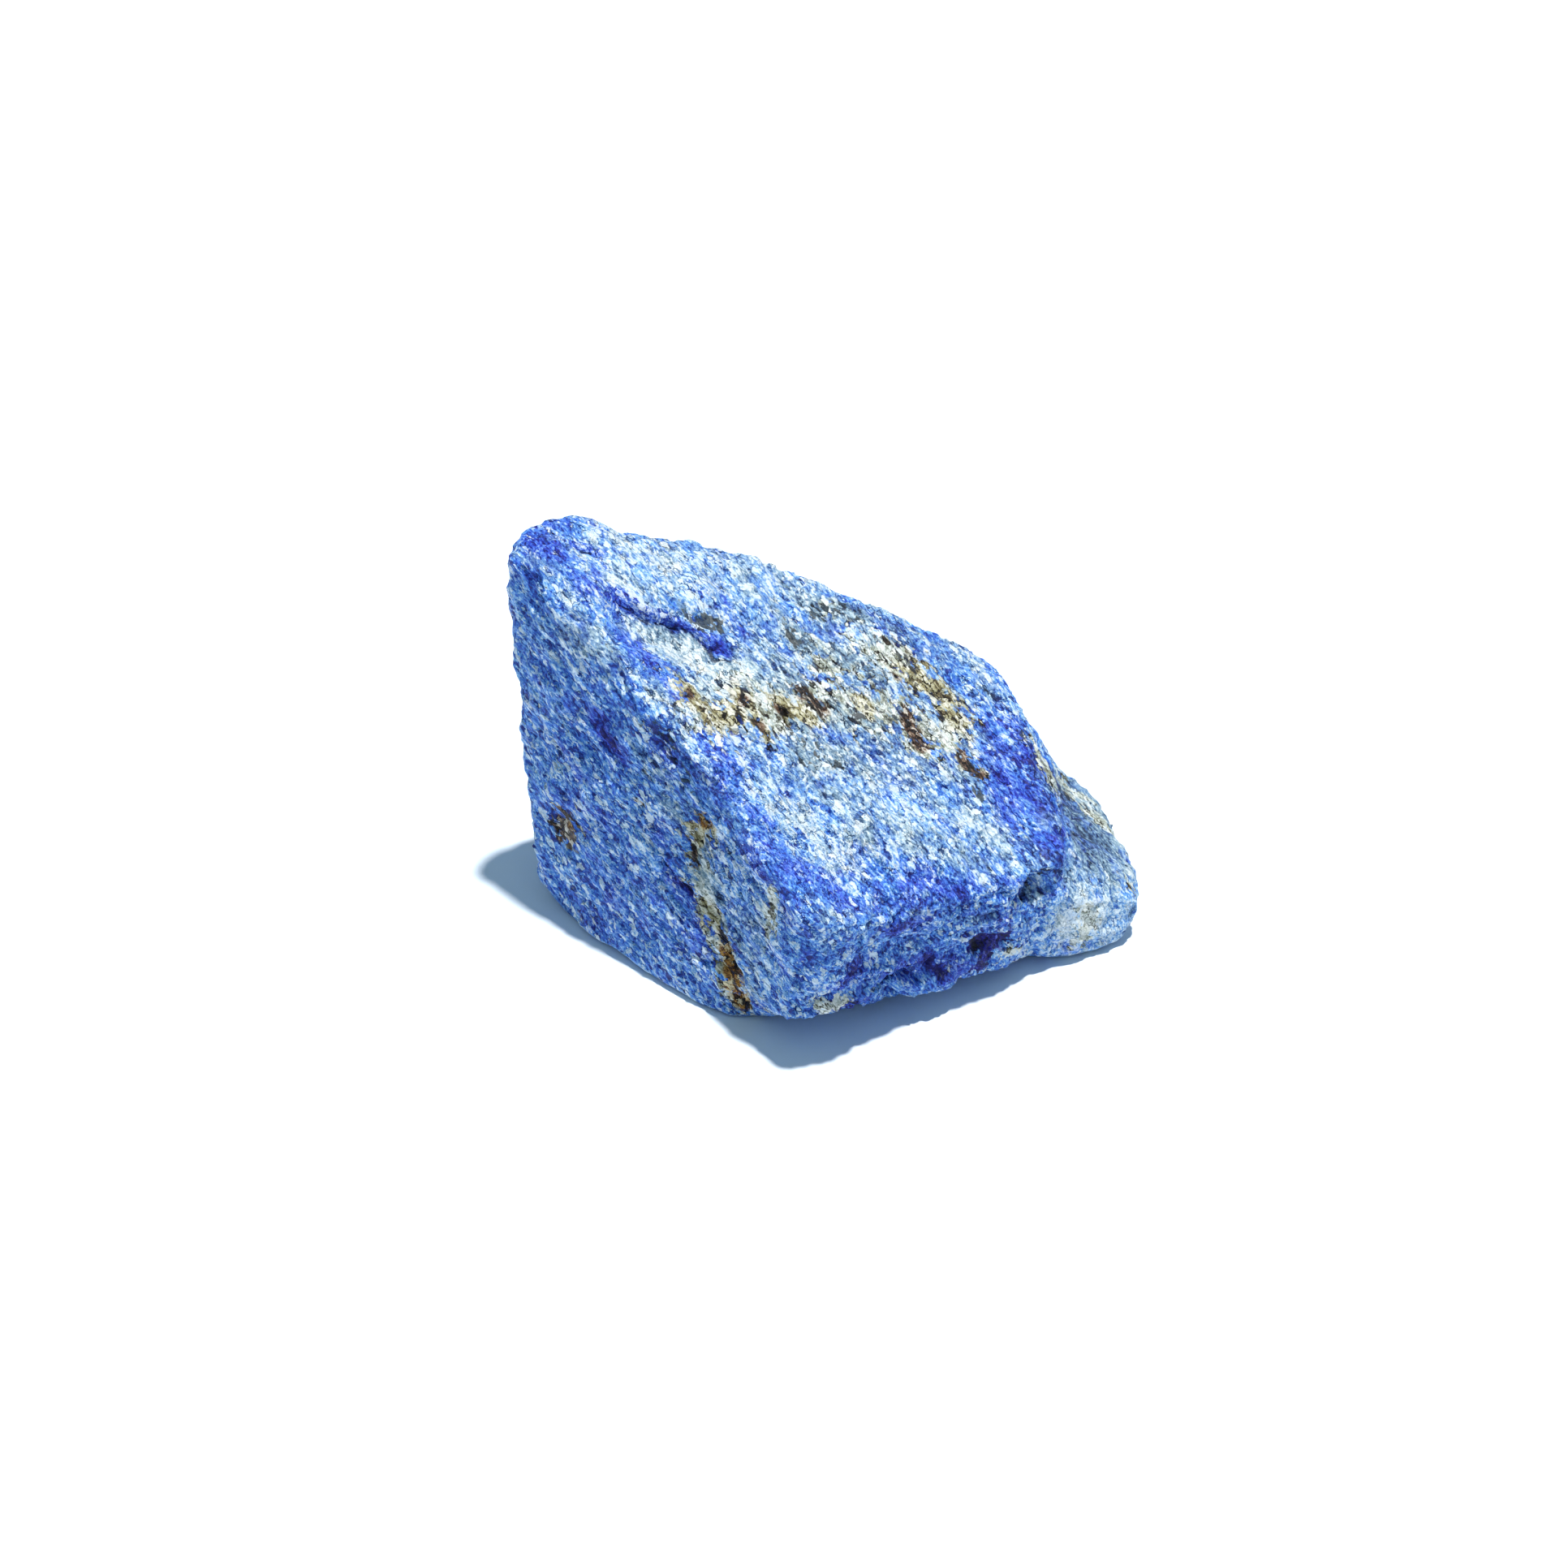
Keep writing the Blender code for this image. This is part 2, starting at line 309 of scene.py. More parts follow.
# All the lines below run through places that are given in one of two ways: (x, y) is where the place
# shows in the view, and (x, y, z) is a place on or near the far side of the stone, in millimetres.

# Where slabs have split off the top: the rock in front of the line is lower by "depth", and comes back
# up over "run".
splits = {
    "longSplit": {
        "line": ((750, 735), (768, 743), (796, 763), (820, 768), (847, 773), (873, 793), (900, 800)),
        "depth": 0.5, "slope": 0.4, "run": 3.4,
    },
    "knobSplit": {
        "line": ((698, 668), (720, 670), (738, 680), (752, 708)),
        "depth": 0.35, "slope": 0.3, "run": 1.6,
    },
}

# The parts of a split. Distances are measured forwards from its line.
splitParts = {
    "leftEnd": (-0.4, 0.8),     # it sets in between these distances from the line's left end
    "rightEnd": (-0.9, 0.5),    # and dies out between these from its right end
    "heights": (14, 17),        # only the top of the stone is split, above these heights
    "riseFrom": 0.2,            # where the rock starts to come back up
    "face": (-2.2, -1.2),       # where the steep face starts, in slopes
    "faceEnd": (0.0, 0.15),
    "ledge": (0.05, 0.3),       # where the ledge at its foot starts
    "ledgeEnd": (0.3, 0.8),     # where the ledge ends, in runs
    "away": 3.0,                # stands for "far from the line" beyond its ends
}

# Cracks and hollows: how deep (below 0: a ridge), how far to each side, and the places they run through.
hollows = {
    "leftCrevice": (0.45, 0.45, (812, 1062), (830, 1084), (846, 1100)),
    "cornerHollow": (0.12, 0.6, (1260, 1106), (1272, 1080), (1293, 1078)),
    "cornerCrack": (0.15, 0.35, (1260, 1106), (1266, 1088), (1285, 1072), (1311, 1073)),
    "frontCrack": (0.16, 0.22, (896, 1054), (912, 1080), (936, 1136)),
    "lowCrack": (0.16, 0.22, (928, 1152), (936, 1172)),
    "hemNotch": (0.8, 0.45, (1088, 1218), (1104, 1202), (1130, 1203)),
    "underBrow": (0.4, 1.5, (1060, 1180), (1100, 1170), (1140, 1165)),
    "hemRidge": (-0.22, 0.4, (1030, 1240), (1060, 1228), (1080, 1208)),
    "longScallop": (-0.5, 1.1, (1020, 1240), (1040, 1236), (1060, 1230)),
    "shortScallop": (-0.75, 1.4, (1120, 1214), (1160, 1207)),
    "scallopNotch": (0.7, 0.6, (1095, 1222), (1098, 1228)),
    "hemLedge": (0.25, 0.35, (1000, 1249), (1040, 1236), (1087, 1218)),
    "blueHollow": (0.6, 1.1, (1210, 1165), (1240, 1160)),
    "blueHollowEnd": (0.3, 0.7, (1222, 1185)),
    "veinValley": (0.35, 1.3, (862, 1015), (852, 1050), (866, 1112), (902, 1205), (915, 1245)),
    "veinPits": (0.35, 0.4, (890, 1170), (899, 1192)),
    "veinEnd": (0.25, 0.3, (908, 1228), (915, 1245)),
    "backCrevice": (0.5, 0.7, (-3, 15, 13), (0.5, 14.5, 10.5), (3, 14, 8)),
    "backHollow": (0.5, 2.2, (8, 12, 9), (11, 10, 6)),
    "backGroove": (0.3, 0.6, (-15, 10, 18), (-13, 12, 13), (-10, 14, 8)),
    "leftWedge": (0.14, 0.8, (735, 890), (752, 915)),
}

# Thin dark lines of painted shade, in cracks, notches and at the foot of splits: how wide, and the places
# that they run through.
creases = {
    "corner": (0.17, (1260, 1106), (1266, 1088), (1285, 1072), (1311, 1073)),
    "front": (0.08, (896, 1054), (912, 1080), (936, 1136)),
    "low": (0.08, (928, 1152), (936, 1172)),
    "left": (0.14, (812, 1062), (830, 1084), (846, 1100)),
    "hem": (0.09, (1040, 1236), (1070, 1226), (1087, 1218)),
    "notch": (0.25, (1092, 1215), (1104, 1202)),
    "vein": (0.12, (882, 1155), (893, 1173), (899, 1192), (908, 1228), (918, 1250)),
    "back": (0.12, (-3, 15, 13), (-1, 14.7, 11.8), (0.5, 14.5, 10.5), (3, 14, 8)),
    "secondLip": (0.12, (873, 793), (882, 806), (898, 810)),
}

# The marks on the stone: each stroke has a reach and the places that it runs through.
strokes = {
    "matrix": [(1.1, (905, 850), (945, 865), (985, 870), (1030, 860), (1060, 880), (1095, 878)),
               (1.2, (850, 855), (876, 884)),
               (0.9, (876, 884), (915, 875), (955, 880)),
               (0.8, (938, 893)),
               (1.1, (1075, 805), (1115, 815), (1140, 840), (1180, 875), (1172, 905)),
               (1.0, (1120, 882), (1135, 915)),
               (0.7, (1190, 930), (1204, 947)),
               (0.5, (980, 785), (1015, 795)),
               (0.6, (1010, 820), (1050, 820)),
               (0.5, (1020, 745), (1050, 755)),
               (0.8, (-12, 12, 20), (-9.5, 14, 14), (-8.5, 15, 8), (-6, 15, 2)),
               (0.8, (6, 13, 6), (9, 12, 4))],
    "gold": [(1.25, (1147, 840), (1172, 866)),
             (0.6, (960, 868), (987, 876)),
             (0.8, (850, 855), (876, 884), (905, 878)),
             (0.5, (918, 860), (938, 893)),
             (0.5, (1065, 870)),
             (0.5, (866, 1014), (848, 1016), (848, 1040)),
             (0.4, (868, 1120), (886, 1156)),
             (0.5, (690, 1022), (700, 1012)),
             (0.6, (-9.5, 14, 14), (-8.5, 15, 10)),
             (0.6, (906, 1166), (902, 1205), (915, 1245))],
    "rust": [(0.5, (866, 1014), (862, 1015)),
             (0.5, (893, 1180), (902, 1205), (915, 1245)),
             (0.2, (698, 1018))],
    "brown": [(0.55, (990, 852), (1008, 866)),
              (0.5, (1118, 880), (1135, 915)),
              (0.5, (1190, 930), (1204, 947)),
              (0.3, (918, 860)),
              (0.3, (938, 893)),
              (0.3, (850, 855)),
              (0.3, (1108, 835)),
              (0.25, (962, 873)),
              (0.8, (688, 1026), (696, 1012)),
              (0.4, (-9.2, 14, 12.5)),
              (0.25, (785, 990)),
              (0.2, (866, 1014)),
              (0.22, (847, 1052), (850, 1068)),
              (0.4, (886, 1156), (899, 1192)),
              (0.3, (904, 1224), (915, 1245))],
    "specks": [(0.6, (860, 772), (882, 772)),
               (0.8, (1000, 745), (1050, 755)),
               (0.7, (980, 785), (1015, 795)),
               (0.9, (1075, 805), (1115, 815)),
               (1.0, (997, 857), (1060, 880)),
               (1.0, (1080, 842), (1110, 908)),
               (0.8, (950, 900), (1020, 935)),
               (0.6, (1270, 1090), (1293, 1078)),
               (0.7, (812, 905), (842, 958)),
               (0.7, (1300, 960), (1325, 985))],
    # Black specks, and painted shade in the corner hollow, the blue hollow and the lip's end.
    "black": [(0.4, (688, 1024)),
              (0.35, (3, 14, 8.5)),
              (0.3, (-13, 12, 15)),
              (0.5, (864, 762), (880, 768)),
              (0.4, (980, 785)),
              (0.2, (1012, 737), (1030, 744)),
              (0.25, (992, 940)),
              (0.25, (1032, 940)),
              (0.25, (1205, 975)),
              (0.4, (1262, 905)),
              (0.3, (1205, 1165)),
              (0.18, (1260, 1106), (1272, 1080), (1282, 1078)),
              (0.2, (1205, 1172))],
    # Navy crystals, and painted shade in the left crevice, the left wedge, the lip's end and along the
    # hem.
    "navy": [(0.5, (887, 792)),
             (0.4, (824, 1075), (846, 1100)),
             (0.5, (1030, 1240), (1070, 1233)),
             (0.6, (735, 890), (755, 922)),
             (0.55, (1105, 1150), (1125, 1145)),
             (0.6, (1058, 1196), (1043, 1215)),
             (0.4, (1145, 1181), (1156, 1196)),
             (0.35, (994, 1181))],
    "ink": [(0.65, (1210, 1165), (1225, 1165), (1240, 1160)),
            (0.6, (1225, 1165), (1210, 1190))],
    # Darker places, and painted shade in the hem notch and the corner hollow.
    "darkerAndShade": [(1.0, (1000, 745), (1050, 755), (1107, 785)),
            (0.7, (650, 665), (685, 670)),
            (1.3, (1290, 947), (1310, 985), (1337, 992)),
            (1.3, (1331, 1030), (1357, 1032)),
            (0.55, (1264, 1100), (1272, 1080), (1303, 1075)),
            (0.5, (1290, 1057)),
            (0.35, (1088, 1218), (1104, 1202)),
            (0.8, (775, 872), (804, 900)),
            (0.8, (822, 905), (846, 948)),
            (0.4, (840, 830))],
    "deep": [(2.0, (-2, 15, 5), (2, 14, 4)),
             (1.6, (-5, 14, 18), (0, 13, 16)),
             (1.3, (1250, 905), (1275, 960), (1290, 1030)),
             (1.0, (1235, 940), (1240, 990)),
             (0.9, (990, 1078), (1050, 1115), (1140, 1090), (1190, 1105)),
             (0.8, (650, 665), (694, 686), (762, 765), (850, 865), (900, 950), (942, 1012), (980, 1100)),
             (0.7, (700, 640), (660, 650)),
             (0.5, (727, 723), (750, 735), (770, 738)),
             (0.8, (1110, 1197), (1178, 1195))],
    "pale": [(2.2, (-15, 10, 16), (-12, 13, 12)),
             (1.8, (5, 14, 9)),
             (1.4, (720, 672), (830, 700), (910, 705), (990, 745)),
             (1.3, (960, 990), (1010, 1020), (1040, 980), (1150, 1000)),
             (0.9, (777, 762), (842, 797), (882, 818)),
             (0.7, (1255, 1080)),
             (0.5, (880, 1000), (910, 1025)),
             (0.6, (822, 998), (890, 1028)),
             # This stroke and the lobe's wide white one paint its low face paler: its own pale grey-blue,
             # and painted light from the floor.
             (2.0, (1345, 1105), (1303, 1132)),
             (1.5, (936, 1136), (940, 1220))],
    "white": [(0.9, (-6.5, 15, 10), (-5, 15, 8)),
              (0.8, (7, 13, 9)),
              (0.5, (1190, 1012), (1232, 1036)),
              (0.7, (1285, 1010)),
              (0.6, (1105, 1010)),
              (0.7, (995, 1012)),
              (0.5, (940, 845), (945, 875)),
              (0.4, (1103, 807)),
              (0.5, (1065, 870), (1095, 878)),
              (0.6, (1150, 895), (1172, 908)),
              (0.7, (860, 800), (890, 825), (922, 836)),
              (0.45, (850, 1078), (864, 1104)),
              (0.4, (874, 1082)),
              (0.8, (1020, 1240), (1033, 1233)),
              (0.3, (948, 1100), (942, 1140)),
              (0.35, (1240, 1180), (1253, 1176), (1268, 1178)),
              # The lobe's low face: its own pale grey-blue, and painted light from the floor.
              (1.2, (1336, 1110), (1349, 1138), (1303, 1140))],
    "cream": [(0.7, (862, 1022), (852, 1050), (862, 1086), (872, 1130), (892, 1180), (915, 1245)),
              (1.0, (1280, 920), (1300, 960)),
              (0.9, (1318, 968), (1340, 985), (1362, 1010)),
              (0.8, (1340, 1130), (1340, 1150)),
              (0.4, (1394, 1090)),
              (0.4, (1250, 1172)),
              (0.35, (948, 1100), (943, 1155)),
              (0.5, (1010, 1240), (1040, 1235)),
              (0.45, (1240, 1180), (1253, 1176))],
    "grey": [(0.7, (1012, 1160), (1082, 1128), (1140, 1118)),
             (0.5, (1180, 1133), (1220, 1130)),
             (0.9, (810, 778), (860, 800), (890, 825), (935, 838)),
             (2.2, (5, 14, 12), (8, 12, 8)),
             (1.8, (-14, 11, 9), (-10, 14, 5)),
             (0.8, (1000, 745), (1050, 755)),
             (0.8, (980, 785), (1060, 815)),
             (0.6, (1270, 1090), (1293, 1078)),
             (1.3, (872, 1068), (902, 1136), (925, 1208)),
             (1.2, (812, 950), (832, 1010)),
             (1.0, (930, 1112), (925, 1190)),
             (1.2, (685, 795), (723, 795)),
             (0.9, (960, 826), (1020, 870), (1080, 878)),
             (0.8, (1000, 930), (1060, 935))],
}


def nearLine(points, line):
    # The distance of every point to a line of straight stretches.
    closest = np.full(len(points), 1e9)
    for step in range(max(len(line) - 1, 1)):
        start, end = line[step], line[min(step + 1, len(line) - 1)]
        length = np.sum((end - start) ** 2)
        t = np.clip((points - start) @ (end - start) / max(length, 1e-9), 0, 1)
        away = np.linalg.norm(points - start - t[:, None] * (end - start), axis=1)
        closest = np.minimum(closest, away)
    return closest


def onSkin(skin, line):
    # The points of the stone's skin that a line runs through: where the line of sight to a place (x, y) of
    # the view meets the skin, or what lies nearest to a place (x, y, z).
    found = []
    for place in line:
        if len(place) == 2:
            found.append(skin.ray_cast(*sightTo(*place))[0])
        else:
            found.append(skin.find_nearest(place)[0])
        if found[-1] is None:
            raise ValueError("the stone doesn't show at %s" % (place,))
    return np.array(found)


def painted(name, skin, strayed, squash=1.5):
    # How strongly a mark covers every point: 2 to the power -(distance / reach) squared, the most of all
    # its strokes. Distances along the grain count for less, so marks are drawn out that way.
    best = np.zeros(len(strayed))
    squashed = strayed - np.outer(strayed @ grainRun, grainRun) * (1 - 1 / squash)
    for reach, *line in strokes[name]:
        places = onSkin(skin, line)
        places = places - np.outer(places @ grainRun, grainRun) * (1 - 1 / squash)
        away = nearLine(squashed, places)
        best = np.maximum(best, 2.0 ** -(away / reach) ** 2)
    return best


def splitDrop(points, skin, line, depth, slope, run):
    # How far a split lowers the surface: the drop sets in over "slope" behind the edge, is full at the
    # edge, and dies out over "run" in front of it and just past its two ends. Also where its steep face
    # is, which the finish darkens as painted shade, where its ledge is, and how far the painted dark line
    # of shade at the face's foot is.
    x, y, _ = onSkin(skin, line).T
    front = np.interp(points[:, 0], x, y) - points[:, 1]
    here = smoothStep(*splitParts["heights"], points[:, 2])
    here = here * smoothStep(*splitParts["leftEnd"], points[:, 0] - x[0])
    here = here * (1 - smoothStep(*splitParts["rightEnd"], points[:, 0] - x[-1]))
    drop = depth * here * smoothStep(-slope, 0, front)
    drop = drop * (1 - smoothStep(splitParts["riseFrom"], run, front))
    steep = here * smoothStep(*splitParts["face"], front / slope)
    steep = steep * (1 - smoothStep(*splitParts["faceEnd"], front))
    ledge = here * smoothStep(*splitParts["ledge"], front)
    ledge = ledge * (1 - smoothStep(*splitParts["ledgeEnd"], front / run))
    fromLine = np.abs(front) + splitParts["away"] * (1 - here)
    return drop, steep, ledge, fromLine


def stairs(values, riser):
    # Whole steps joined by risers: the whole part, plus a curve from 0 to 1 over the last "riser" of each.
    whole = np.floor(values)
    return whole + smoothStep(1 - riser, 1, values - whole)


def flaked(points, wander, across, along, tilt, step, crack, border, seed):
    # Overlapping flakes: each is a tilted plane, a little higher or lower than the next, with a crack
    # around it.
    ragged = points + wander * across * relief["ragged"]
    gap, number, tilted = flakeNoise(alongGrain(ragged, across, along), seed)
    return tilted * tilt + (number - 0.5) * step - (1 - smoothStep(0.0, border, gap)) * crack


def rockFabric(points, wander):
    # The stone's own rough face: swells, ribs along the grain, splintered stairs across it, plates, flakes
    # and fibres, added up.
    swell, ribs, splinters = (relief[name] for name in ("swell", "ribs", "splinters"))
    patches, fibres = (relief[name] for name in ("splinterPatches", "fibres"))
    height = softNoise(points / swell["spacing"], 1) * swell["height"]
    ribbed = softNoise(alongGrain(points, ribs["across"], ribs["along"]), 2)
    height += (ribs["middle"] - np.abs(ribbed)) * ribs["height"]
    rise = -points @ grainRise / splinters["spacing"]
    for seed, (across, along, strength) in zip((5, 6), relief["splinterBends"].values()):
        rise = rise + softNoise(alongGrain(points, across, along), seed) * strength
    splintered = (stairs(rise, splinters["riser"]) - rise - 0.5) * splinters["height"]
    height += splintered * (patches["least"] + softNoise(points / patches["spacing"], 7))
    height += flaked(points, wander, seed=8, **relief["plates"])
    height += flaked(points, wander, seed=4, **relief["flakes"])
    inGrain = alongGrain(points, fibres["across"], fibres["along"])
    return height + layeredNoise(inGrain, 3, fibres["layers"], fibres["fall"]) * fibres["height"]


# What the marks do. Lengths are in millimetres.
marking = {
    "wander": 1.1,              # how far apart the bends in the marks' borders are
    "markStray": 0.5,           # how far the borders of colour marks stray
    "lineStray": 0.2,           # how far cracks, hollows and splits stray
    "hollowFloor": 0.1,         # how much of a hollow's width is its full depth
    "splitCrease": 0.09,        # how wide the painted dark line of shade at a split's foot is
    "noCrease": 4.0,            # stands for "far from every dark line"
    "spotDepth": 0.14,          # how deep the brown and the black spots are
    "crestRounds": 6,           # rounds of evening out that make a point's surroundings
    "crestHeight": 0.12,        # a point this much higher than its surroundings is a full crest, with the full painted highlight
    "level": (0.35, 0.8),       # how far a face looks up: not a top, fully a top, with the full painted top light
    "rimHeights": (0.2, 0.8),   # the painted light from the floor on the rim at the table dies out between these heights
    "rimFacing": -0.7,          # faces that look down more than this get no painted rim light
    "spurStart": 13.8,          # where the pale spur at the right end starts, at the height "spurLevel"
    "spurLevel": 9,
    "spurLowest": 8,            # below this height its border stands upright
    "spurLean": 0.4,            # how far its border leans, for each millimetre of height
    "spurBorder": (-0.1, 0.7),
    "spurTop": (3.5, 6.5),      # between these heights the spur turns darker
}

# How much each mark adds to what the finish reads. Some of these are sums, some take the strongest mark.
# The shares for faces that look up, and for tops towards the right, are painted top light: paler and
# greyer tops, a little less so towards the right.
sums = {
    "pale": {"start": 0.5, "paintedTopLight": 0.10, "crest": 0.14, "pale": 0.13, "white": 0.28, "rim": 0.22,
             "deep": -0.17, "navy": -0.40, "darkerAndShade": -0.20, "steep": -0.12, "ledge": 0.02,
             "topLightTimesX": -0.004, "spur": 0.15, "spurTop": -0.28},
    "bleached": {"start": -0.32, "paintedTopLight": 0.74, "deep": -0.75, "navy": -0.6, "steep": -0.7,
                 "greyed": 0.62, "white": 0.3, "ledge": 0.25},
    "creamy": {"start": 0.0, "white": 1.0, "gold": -0.3},
    "violet": {"start": 0.0, "navyAndShade": 1.0, "deep": 0.5},
}
# The navy marks and the splits' steep faces go together here; on the steep faces the darker violet is
# painted shade.
strongest = {
    "greyed": {"grey": 1.0, "spur": 0.8},
    "navyAndShade": {"navy": 1.0, "steep": 1.0},
    "matrix": {"matrix": 0.95, "cream": 1.0, "brown": 0.9},
    "black": {"black": 1.0, "specks": 0.28},
    "quiet": {"spur": 1.0, "ink": 1.0, "deep": 0.8, "navy": 1.0},
}


def summed(name, marks):
    # The start, plus every mark times its share.
    shares = sums[name]
    return shares["start"] + sum(share * marks[part] for part, share in shares.items() if part != "start")


def strongestOf(name, marks):
    # The highest of the marks, each times its share.
    return np.maximum.reduce([share * marks[part] for part, share in strongest[name].items()])


def creased(points, skin, marks):
    # How far the splits and hollows lower every point. Adds the splits' steep faces, which get painted
    # shade, and ledges to the marks, and how far the nearest dark line of painted shade is, in widths of
    # that line.
    drop = np.zeros(len(points))
    marks["steep"] = np.zeros(len(points))
    marks["ledge"] = np.zeros(len(points))
    marks["fromCrease"] = np.full(len(points), marking["noCrease"])
    for split in splits.values():
        lower, steep, ledge, fromLine = splitDrop(points, skin, **split)
        drop += lower
        marks["steep"] = np.maximum(marks["steep"], steep)
        marks["ledge"] = np.maximum(marks["ledge"], ledge)
        marks["fromCrease"] = np.minimum(marks["fromCrease"], fromLine / marking["splitCrease"])
    for depth, reach, *line in hollows.values():
        away = nearLine(points, onSkin(skin, line)) / reach
        drop += depth * (1 - smoothStep(marking["hollowFloor"], 1.0, away))
    for width, *line in creases.values():
        away = nearLine(points, onSkin(skin, line)) / width
        marks["fromCrease"] = np.minimum(marks["fromCrease"], away)
    return drop


def placeMarks(points, normals, strayed, marks):
    # Adds the marks that follow from where a point lies: painted top light on tops, painted floor light on
    # the rim at the table, and the pale spur.
    marks["paintedTopLight"] = smoothStep(*marking["level"], normals[:, 2])
    marks["topLightTimesX"] = marks["paintedTopLight"] * points[:, 0]
    lowDown = 1 - smoothStep(*marking["rimHeights"], points[:, 2])
    marks["rim"] = lowDown * (normals[:, 2] > marking["rimFacing"])
    above = np.maximum(strayed[:, 2], marking["spurLowest"]) - marking["spurLevel"]
    intoSpur = strayed[:, 0] - marking["spurStart"] + marking["spurLean"] * above
    marks["spur"] = smoothStep(*marking["spurBorder"], intoSpur)
    marks["spurTop"] = marks["spur"] * smoothStep(*marking["spurTop"], points[:, 2])


def carveStone(points, normals, quads, edges):
    # Moves every point along its normal by the sum of the relief's parts, and gives the marks that the
    # finish reads. The flat foot stays as it is.
    wander = np.stack([layeredNoise(points / marking["wander"], seed, 3) for seed in (61, 65, 69)], axis=1)
    strayed = points + wander * marking["markStray"]
    skin = BVHTree.FromPolygons(points.tolist(), quads.tolist())
    marks = {name: painted(name, skin, strayed) for name in strokes}
    height = rockFabric(points, wander)
    height -= creased(points + wander * marking["lineStray"], skin, marks)
    height -= marking["spotDepth"] * (marks["brown"] + marks["black"])

    foot = relief["footShare"] + (1 - relief["footShare"]) * smoothStep(*relief["footFade"], points[:, 2])
    moved = points + normals * (height * foot)[:, None]
    onFoot = (points[:, 2] < relief["flatBelow"]) & (normals[:, 2] < relief["lookingDown"])
    moved[:, 2] = np.where(onFoot, 0, np.maximum(moved[:, 2], 0))

    # How far a point stands out of its surroundings: crests are paler with a painted highlight, cracks
    # darker with painted shade.
    around = np.repeat(height[:, None], 3, axis=1)
    for _ in range(marking["crestRounds"]):
        around = neighbourMean(around, edges, len(points))
    marks["crest"] = np.clip((height - around[:, 0]) / marking["crestHeight"], -1, 1)

    placeMarks(points, normals, strayed, marks)
    for name in ("greyed", "navyAndShade"):
        marks[name] = strongestOf(name, marks)
    shown = {name: marks[name] for name in ("gold", "rust", "brown", "grey", "ink", "fromCrease")}
    shown.update({name: summed(name, marks) for name in sums})
    shown.update({name: strongestOf(name, marks) for name in ("matrix", "black", "quiet")})
    return moved, shown


points, quads, edges, mapping = wrapLump(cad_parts["lapis_stone"])
say("wrapped %d squares onto the frame" % len(quads))
carved, marks = carveStone(points, outward(points, quads), quads, edges)
say("carved the relief")


def keptInBox(points):
    # Presses the highest grains back to just outside the frame's box.
    low, high = (np.array(corner) / mm for corner in cadBox)
    over = relief["overBox"]
    return np.clip(points, low - [over, over, 0], high + over)


def makeStone(points, quads, mapping, marks):
    mesh = bpy.data.meshes.new("rough_stone")
    mesh.from_pydata(points * mm, [], quads.tolist())
    mesh.polygons.foreach_set("use_smooth", np.ones(len(quads), bool))
    mesh.uv_layers.new(name="OFBake").data.foreach_set("uv", mapping.ravel())
    for name, values in marks.items():
        mesh.attributes.new(name, "FLOAT", "POINT").data.foreach_set("value", values)
    stone = bpy.data.objects.new("rough_stone", mesh)
    bpy.context.scene.collection.objects.link(stone)
    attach(stone, "root")
    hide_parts("lapis_stone")
    return stone


stone = makeStone(keptInBox(carved), quads, mapping, marks)
say("made the stone's mesh")

